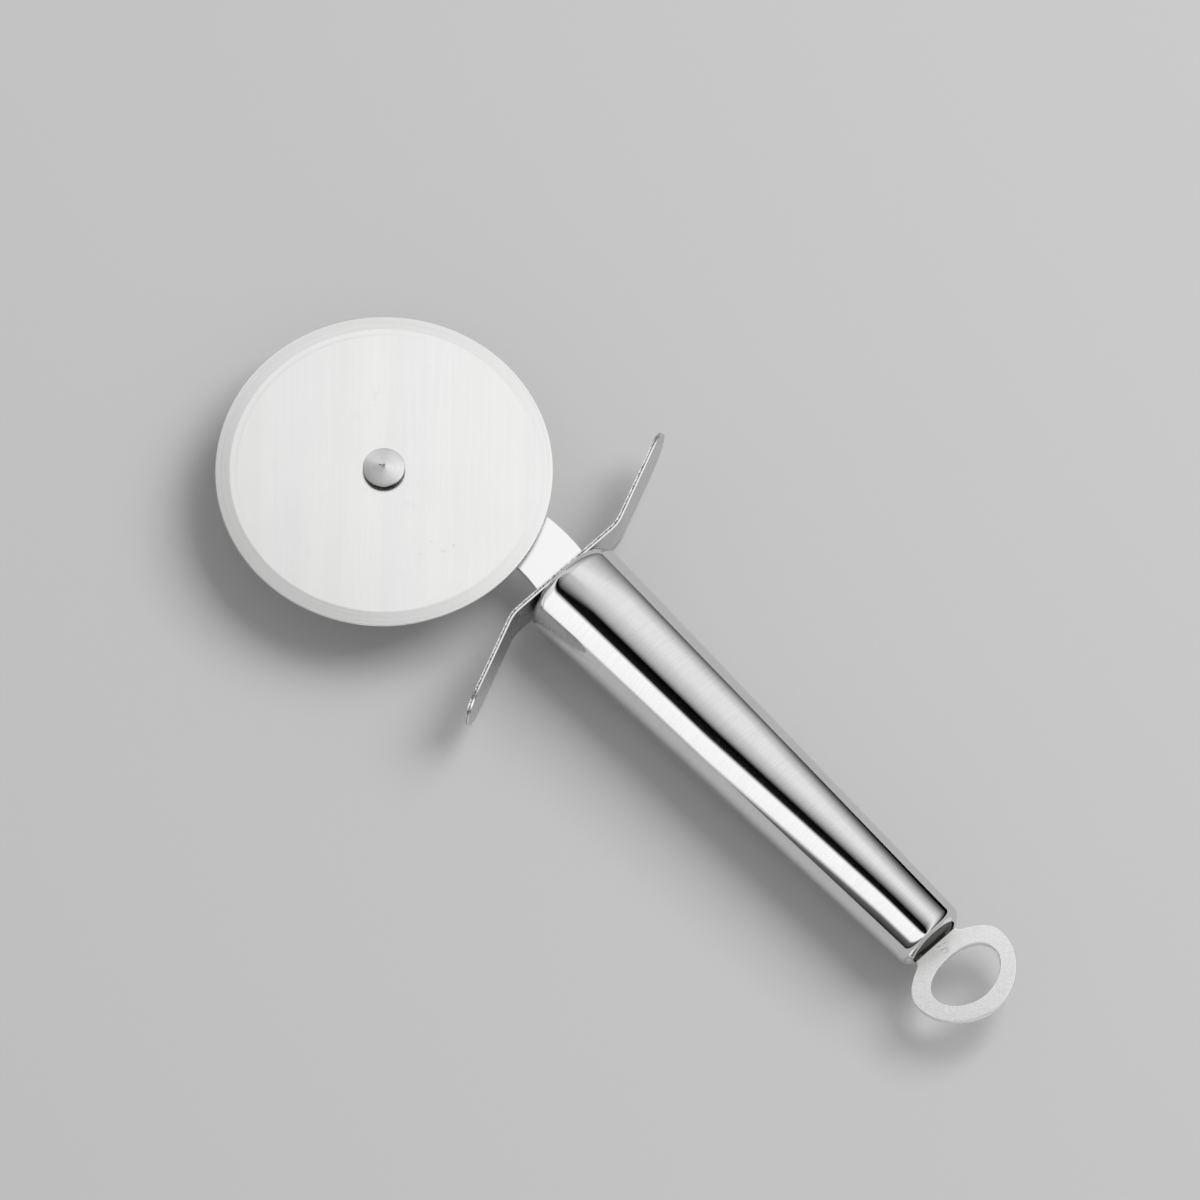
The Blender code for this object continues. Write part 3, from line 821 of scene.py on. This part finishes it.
cap_place = Matrix.Translation((cap_low.x, HANDLE_MIDDLE.y, HANDLE_MIDDLE.z)) @ ALONG_HANDLE
cap_size = cap_high - cap_low
cap = turn("cap", cap_profile(cap_size.y / 2, cap_size.x), CAP_STEPS, cap_steel, cap_place)
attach(cap, "handle")
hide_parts("end_cap")

# %% [markdown]
# ## The flat plates
#
# The arm and the washer are flat plates whose outlines are already true in the solid model. A stamped
# edge is never knife sharp, though, and a shiny edge catches a line of light. So the solid is cut at
# half its height, a small rounded section runs along each outline of the cut, and the flat faces are
# filled in between. They stay quite flat, which a Bevel on the solid's long thin triangles spoils.

# %% Build the flat plates
PLATE_ROUNDING = 0.00008
WORN_WIDTH = 0.00010
ROUNDING_STEPS = 4
JOIN_DISTANCE = 0.000002
SHORTEST_STEP = 0.00005
LEAST_TURN = math.radians(1.0)


def corners_only(loop):
    """The outline without the points on its straight runs and those too close to the one before."""
    steps = zip(loop[-1:] + loop[:-1], loop)
    apart = [here for before, here in steps if (here - before).length > SHORTEST_STEP]
    turns = zip(apart[-1:] + apart[:-1], apart, apart[1:] + apart[:1])
    return [
        here for before, here, after in turns if (here - before).angle(after - here, 0.0) > LEAST_TURN
    ]


def area_inside(loop):
    """The area of a closed outline, below zero where it runs clockwise."""
    return sum(a.x * b.y - b.x * a.y for a, b in zip(loop, loop[1:] + loop[:1])) / 2


def outlines(node):
    """The closed outlines of a solid plate at half its height, with the metal on their left."""
    low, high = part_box(node)
    solid = bmesh.new()
    solid.from_mesh(frame["nodes"][node].data)
    bmesh.ops.remove_doubles(solid, verts=solid.verts, dist=JOIN_DISTANCE)
    everything = solid.verts[:] + solid.edges[:] + solid.faces[:]
    plane = {"plane_co": (0.0, 0.0, (low.z + high.z) / 2), "plane_no": (0.0, 0.0, 1.0)}
    neighbours = {}
    for item in bmesh.ops.bisect_plane(solid, geom=everything, **plane)["geom_cut"]:
        if isinstance(item, bmesh.types.BMEdge):
            for vert in item.verts:
                neighbours.setdefault(vert, []).append(item.other_vert(vert))
    loops = []
    while neighbours:
        vert = next(iter(neighbours))
        loop = []
        while vert:
            loop.append(Vector((vert.co.x, vert.co.y)))
            ahead = [other for other in neighbours.pop(vert) if other in neighbours]
            vert = ahead[0] if ahead else None
        loops.append(corners_only(loop))
    solid.free()
    loops.sort(key=lambda loop: -abs(area_inside(loop)))
    turned = [loops[0] if area_inside(loops[0]) > 0.0 else loops[0][::-1]]
    return turned + [loop if area_inside(loop) < 0.0 else loop[::-1] for loop in loops[1:]]


def inward(loop):
    """Unit vectors square to a closed outline, pointing to its left."""
    normals = []
    for before, after in zip(loop[-1:] + loop[:-1], loop[1:] + loop[:1]):
        run = (after - before).normalized()
        normals.append(Vector((-run.y, run.x)))
    return normals


def rounded_rows(rounding, half):
    """How far in and how high each row of a rounded edge lies, from the lower face to the upper."""
    quarter = [math.radians(90.0 * i / ROUNDING_STEPS) for i in range(ROUNDING_STEPS + 1)]
    rise = [(rounding * (1 - math.cos(a)), half - rounding * (1 - math.sin(a))) for a in quarter]
    rise.append((rounding + WORN_WIDTH, half))
    return [(inset, -height) for inset, height in reversed(rise)] + rise


def plate(name, node, finish):
    """A flat plate with fine round edges that follows the outlines of a solid piece."""
    low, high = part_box(node)
    rows = rounded_rows(PLATE_ROUNDING, (high.z - low.z) / 2)
    shell = bmesh.new()
    lower_rim, upper_rim = [], []
    for loop in outlines(node):
        sections = [
            [shell.verts.new((*(point + into * inset), height)) for inset, height in rows]
            for point, into in zip(loop, inward(loop))
        ]
        for this, other in zip(sections, sections[1:] + sections[:1]):
            for i in range(len(rows) - 1):
                shell.faces.new((this[i], other[i], other[i + 1], this[i + 1]))
            lower_rim.append(shell.edges.get((this[0], other[0])))
            upper_rim.append(shell.edges.get((this[-1], other[-1])))
    for rim in (lower_rim, upper_rim):
        bmesh.ops.triangle_fill(shell, edges=rim, use_beauty=True)
    place = Matrix.Translation((0.0, 0.0, (low.z + high.z) / 2))
    return place_and_shade(name, finished_mesh(name, shell, finish), place)


arm = plate("arm", "wheel_arm", arm_steel)
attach(arm, "handle")
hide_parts("wheel_arm")

washer = plate("washer", "spacer_washer", washer_steel)
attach(washer, "handle")
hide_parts("spacer_washer")

# %% [markdown]
# ## The guard
#
# The guard is bent, so it is no flat plate. It is copied from its solid piece, its loose triangles are
# joined into whole faces, and a fine Bevel rounds the edges.

# %% Soften the guard's edges
GUARD_ROUNDING = 0.00006
ROUNDED_FROM = math.radians(40.0)


def soft_guard():
    """A copy of the solid guard with fine round edges."""
    whole = bmesh.new()
    whole.from_mesh(frame["nodes"]["finger_guard"].data)
    bmesh.ops.remove_doubles(whole, verts=whole.verts, dist=JOIN_DISTANCE)
    bmesh.ops.dissolve_limit(whole, angle_limit=LEAST_TURN, verts=whole.verts, edges=whole.edges)
    copy = add_object("guard_solid", finished_mesh("guard", whole, guard_steel))
    bevel = copy.modifiers.new("Fine edges", "BEVEL")
    bevel.width = GUARD_ROUNDING
    bevel.segments = 3
    bevel.limit_method = "ANGLE"
    bevel.angle_limit = ROUNDED_FROM
    soft = evaluated_mesh(copy)
    bpy.data.objects.remove(copy)
    return place_and_shade("guard", soft, Matrix.Identity(4), outwards=False)


guard = soft_guard()
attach(guard, "handle")
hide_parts("finger_guard")

# %% [markdown]
# ## The ring
#
# The ring is seen flat on and against the floor, so its outline must be a true curve and its edge a
# true round. Its outer edge is a closed Bezier outline, hollow where it runs in to the neck. Each
# point of that outline gets a partner on the edge of the hole, and one small rounded section runs
# from the one to the other. All the sections joined up make a closed ring with no seam. By the cap
# the sheet still rises a little, which keeps the neck bright instead of mirroring the dark cap.

# %% Draw the ring's two outlines
RING_WIDTH = 0.0223
RING_WIDEST_AT = 0.00725
RING_NECK_WIDTH = 0.0102
RING_BAND = 0.0034
NECK_CORNER = 0.00027
HOLE_LENGTH = 0.01025
HOLE_WIDTH = 0.0153
HOLE_WIDEST_AT = 0.00455
CURVE_STEPS = 28


def through(knots):
    """Points along a Bezier curve through knots of (point, handle before, handle after)."""
    points = []
    for (start, _, leave), (end, arrive, _) in zip(knots, knots[1:]):
        p0, p3 = Vector(start), Vector(end)
        p1, p2 = p0 + Vector(leave), p3 + Vector(arrive)
        for i in range(CURVE_STEPS):
            t = i / CURVE_STEPS
            first_half = p0 * (1 - t) ** 3 + p1 * 3 * t * (1 - t) ** 2
            points.append(first_half + p2 * 3 * t * t * (1 - t) + p3 * t ** 3)
    return points


def ring_outline():
    """The outer edge. Its curves' handles are shares of the ring's sizes."""
    half = RING_WIDTH / 2
    neck = RING_NECK_WIDTH / 2
    swell = half - neck
    end = RING_LENGTH - RING_WIDEST_AT
    lean = (0.155 * RING_WIDEST_AT, 0.31 * swell)
    upper = through([
        ((RING_LENGTH, 0.0), (0.0, 0.0), (0.0, 0.52 * half)),
        ((RING_WIDEST_AT, half), (0.52 * end, 0.0), (-0.365 * RING_WIDEST_AT, 0.0)),
        ((0.29 * RING_WIDEST_AT, neck + 0.42 * swell), lean, (-0.45 * lean[0], -0.45 * lean[1])),
        ((NECK_CORNER, neck), (0.13 * RING_WIDEST_AT, 0.045 * swell), (0.0, 0.0)),
    ])
    straight = neck - NECK_CORNER
    corner = arc((NECK_CORNER, straight), NECK_CORNER, 90.0, 180.0, 6)
    upper += [Vector(point) for point in corner[:-1]]
    neck_edge = [Vector((0.0, straight * (1 - 2 * i / CURVE_STEPS))) for i in range(CURVE_STEPS + 1)]
    return upper + neck_edge + [Vector((x, -y)) for x, y in reversed(upper[1:])]


def hole_outline():
    """The edge of the hole, drawn in the same way."""
    half = HOLE_WIDTH / 2
    far = RING_LENGTH - RING_BAND
    near = far - HOLE_LENGTH
    widest = near + HOLE_WIDEST_AT
    upper = through([
        ((far, 0.0), (0.0, 0.0), (0.0, 0.51 * half)),
        ((widest, half), (0.51 * (far - widest), 0.0), (-0.59 * (widest - near), 0.0)),
        ((near, 0.0), (0.0, 0.59 * half), (0.0, 0.0)),
    ])
    return upper + [Vector((near, 0.0))] + [Vector((x, -y)) for x, y in reversed(upper[1:])]


outer_edge = ring_outline()
hole_edge = hole_outline()
print("outer edge has", len(outer_edge), "points, the hole", len(hole_edge))

# %% [markdown]
# Both outlines are now carried through the sheet's thickness. The rows of the rounded edges carry an
# attribute, `near_edge`, that tells the ring's finish where the tumbling wore the metal and where a
# painted highlight brightens the edges. The tongue that goes on into the cap is a plain bar, because it
# is hidden from every side.

# %% Join the outlines by rounded sections
RING_ROUNDING = 0.00015
NECK_RISE = 0.00016
NECK_SLOPE = 0.0022
FACE_STEPS = 8
TONGUE_SIZE = (0.0090, 0.0060, 0.0011)
ROUND_OFF = 0.000001


def partners(outline, hole):
    """For each point of the outline, the point of the hole in the same direction from its middle."""
    middle = Vector(((hole[0].x + min(point.x for point in hole)) / 2, 0.0))
    found = []
    for point in outline:
        ray = point - middle
        for start, end in zip(hole, hole[1:] + hole[:1]):
            side = end - start
            across = ray.x * side.y - ray.y * side.x
            gap = start - middle
            along_side = (gap.x * ray.y - gap.y * ray.x) / across if across else -1.0
            along_ray = (gap.x * side.y - gap.y * side.x) / across if across else -1.0
            if -ROUND_OFF <= along_side <= 1.0 + ROUND_OFF and along_ray > 0.0:
                found.append(start + side * along_side)
                break
    return found


def neck_rise(x):
    """How far the sheet is still bent up at a distance from the cap."""
    return NECK_RISE * max(1.0 - x / NECK_SLOPE, 0.0) ** 2


def between(start, end):
    """Points that share out a flat face between two rows."""
    return [(start[0].lerp(end[0], i / FACE_STEPS), start[1]) for i in range(1, FACE_STEPS)]


def make_ring():
    rows = rounded_rows(RING_ROUNDING, (ring_high.z - ring_low.z) / 2)
    hole = partners(outer_edge, hole_edge)
    shell = bmesh.new()
    sections = []
    for out, into, rim, away in zip(outer_edge, inward(outer_edge), hole, inward(hole)):
        outer = [(out + into * inset, height) for inset, height in rows]
        inner = [(rim - away * inset, height) for inset, height in reversed(rows)]
        section = outer + between(outer[-1], inner[0]) + inner + between(inner[-1], outer[0])
        places = [(point.x, point.y, height + neck_rise(point.x)) for point, height in section]
        sections.append([shell.verts.new(place) for place in places])
    for this, other in zip(sections, sections[1:] + sections[:1]):
        for i in range(len(this)):
            j = (i + 1) % len(this)
            shell.faces.new((this[i], other[i], other[j], this[j]))
    tongue_middle = Vector((RING_BAND / 2 - TONGUE_SIZE[0] / 2, 0.0, 0.0))
    tongue = Matrix.Translation(tongue_middle) @ Matrix.Diagonal((*TONGUE_SIZE, 1.0))
    bmesh.ops.create_cube(shell, size=1.0, matrix=tongue)
    mesh = finished_mesh("ring", shell, ring_steel)
    on_edge = [0.0] + [1.0] * (len(rows) - 2) + [0.0]
    worn = (on_edge + [0.0] * (FACE_STEPS - 1)) * 2 * len(sections)
    worn += [0.0] * (len(mesh.vertices) - len(worn))
    mesh.attributes.new("near_edge", "FLOAT", "POINT").data.foreach_set("value", worn)
    return mesh


ring_place = Matrix.Translation((ring_start, HANDLE_MIDDLE.y, ring_middle.z))
ring = place_and_shade("ring", make_ring(), ring_place)
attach(ring, "handle")
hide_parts("hanging_ring")

# %% [markdown]
# ## The floor
#
# The cutter lies on a plain pale surface. It is one big flat sheet, so that no edge of it shows from
# any side, and it is rough, so that it takes soft shadows and mirrors nothing.

# %% Lay the floor
FLOOR_SIZE = 40.0
FLOOR_COLOUR = (0.66, 0.66, 0.6666, 1.0)

floor_material = bpy.data.materials.new("pale_floor")
floor_material.use_nodes = True
floor_shader = floor_material.node_tree.nodes["Principled BSDF"]
floor_shader.inputs["Base Color"].default_value = FLOOR_COLOUR
floor_shader.inputs["Roughness"].default_value = 0.9
floor_shader.inputs["Specular IOR Level"].default_value = 0.1

sheet = bmesh.new()
bmesh.ops.create_grid(sheet, x_segments=1, y_segments=1, size=FLOOR_SIZE / 2)
floor = add_object("floor", finished_mesh("floor", sheet, floor_material))
print("floor is %.0f m wide" % FLOOR_SIZE)

# %% [markdown]
# ## The light
#
# Steel shows what stands round it, so its light is as much a matter of panels as of lamps. One large
# soft lamp hangs on the side that the handle is set off to, and the sky fills the shadows. Round the
# cutter stands a wide tunnel that only reflections see: a white roof that fades towards the right, a
# narrow black gap, and a white strip low on the left. That is what draws the bright bands and the
# black line along the handle.

# %% Hang the lamp and the sky
SKY_FILL = 0.38
SKY_SEEN = 0.9
WHITE = (1.0, 1.0, 1.0, 1.0)
LAMP_POWER = 21.0
LAMP_SIZE = 1.2
LAMP_DIRECTION = Vector((0.15, 0.75, 1.0)).normalized()
LAMP_DISTANCE = 1.8

lamp = add_object("soft_lamp", bpy.data.lights.new("soft_lamp", "AREA"))
lamp.data.shape = "SQUARE"
lamp.data.size = LAMP_SIZE
lamp.data.energy = LAMP_POWER
lamp.location = LAMP_DISTANCE * LAMP_DIRECTION
lamp.rotation_euler = LAMP_DIRECTION.to_track_quat("Z", "Y").to_euler()
lamp.visible_glossy = False
lamp.visible_camera = False

world = bpy.data.worlds.new("studio")
world.use_nodes = True
sky = world.node_tree
sky.nodes.clear()
path = sky.nodes.new("ShaderNodeLightPath")
seen = Wire(sky, path.outputs["Is Camera Ray"])
for kind in ("Is Glossy Ray", "Is Transmission Ray"):
    seen = seen.maths("MAXIMUM", Wire(sky, path.outputs[kind]))
strength = SKY_FILL + seen * (SKY_SEEN - SKY_FILL)
background = add_node(sky, "ShaderNodeBackground", None, {"Color": WHITE, "Strength": strength})
world_output = sky.nodes.new("ShaderNodeOutputWorld")
sky.links.new(background.socket, world_output.inputs["Surface"])
bpy.context.scene.world = world
print("lamp of %.0f W, sky fill %.2f" % (LAMP_POWER, SKY_FILL))

# %% [markdown]
# The handle tapers, so the same panel has to lie at other angles beside its butt than beside its
# front, and at others again beside the blade. Each row of the table is one angle of the lining, from
# straight up towards +Y in degrees: beside the blade, beside the front of the handle and beside its
# butt. Its last number is how bright the lining is there. The angles change over along X within
# `BLADE_SIDE` and `HANDLE_SIDE`, and past the far side of the blade the whole lining is a little darker.

# %% Line the tunnel
TUNNEL_RADIUS = 0.25
TUNNEL_LENGTH = 3.0
TUNNEL_SIDES = 120
TUNNEL_SPAN = math.radians(95.0)
LINING = (
    (-125.0, -125.0, -90.0, 0.02),
    (-102.0, -98.0, -70.0, 0.15),
    (-88.0, -86.5, -60.0, 1.20),
    (-50.0, -48.5, -26.0, 1.26),
    (-42.0, -41.5, -19.0, 0.01),
    (-34.0, -22.5, -5.0, 0.0),
    (-17.0, -14.0, 7.0, 0.42),
    (-9.0, -8.0, 12.0, 0.58),
    (1.0, -2.0, 15.0, 0.68),
    (8.0, 18.0, 24.0, 0.94),
    (18.0, 27.0, 30.0, 1.0),
    (27.0, 52.0, 37.0, 1.0),
    (62.0, 73.0, 55.0, 0.60),
    (90.0, 86.0, 69.0, 0.22),
    (97.0, 96.0, 82.0, 0.0),
)
FAR_SIDE = (-0.235, -0.165)
FAR_LEVEL = 0.78
BLADE_SIDE = (-0.082, -0.068)
HANDLE_SIDE = (-0.031, 0.021)


def lining_material():
    middle_line = (0.0, HANDLE_MIDDLE.y, HANDLE_MIDDLE.z)
    material, centred = start_material("tunnel_lining", middle_line)
    x, y, z = split(centred)
    angle = y.maths("ARCTAN2", z) * math.degrees(1.0)
    to_handle = ramp(x, *BLADE_SIDE)
    to_butt = ramp(x, *HANDLE_SIDE)
    ends = [
        to_handle * (front - by_blade) + to_butt * (butt - front) + by_blade
        for by_blade, front, butt, _ in LINING
    ]
    levels = [level for _, _, _, level in LINING]
    brightness = levels[0]
    for start, end, before, after in zip(ends, ends[1:], levels, levels[1:]):
        brightness = ramp(angle, start, end) * (after - before) + brightness
    brightness = brightness * (ramp(x, *FAR_SIDE) * (1.0 - FAR_LEVEL) + FAR_LEVEL)
    glow = {"Color": WHITE, "Strength": brightness}
    add_output(add_node(material.node_tree, "ShaderNodeEmission", None, glow))
    return material


def make_tunnel():
    shell = bmesh.new()
    rows = []
    for i in range(TUNNEL_SIDES + 1):
        angle = TUNNEL_SPAN * (2 * i / TUNNEL_SIDES - 1)
        y = HANDLE_MIDDLE.y + TUNNEL_RADIUS * math.sin(angle)
        z = HANDLE_MIDDLE.z + TUNNEL_RADIUS * math.cos(angle)
        rows.append([shell.verts.new((x, y, z)) for x in (-TUNNEL_LENGTH / 2, TUNNEL_LENGTH / 2)])
    for low, high in zip(rows, rows[1:]):
        shell.faces.new((low[0], high[0], high[1], low[1]))
    tunnel = add_object("tunnel", finished_mesh("tunnel", shell, lining_material()))
    tunnel.visible_camera = False
    tunnel.visible_diffuse = False
    tunnel.visible_shadow = False
    tunnel.visible_transmission = False
    tunnel.visible_volume_scatter = False
    return tunnel


tunnel = make_tunnel()
print("tunnel lining has", len(LINING), "edges")

# %% [markdown]
# ## Ready to render
#
# The colours are shown as they are, with no film look.

# %% Finish
bpy.context.scene.view_settings.view_transform = "Standard"
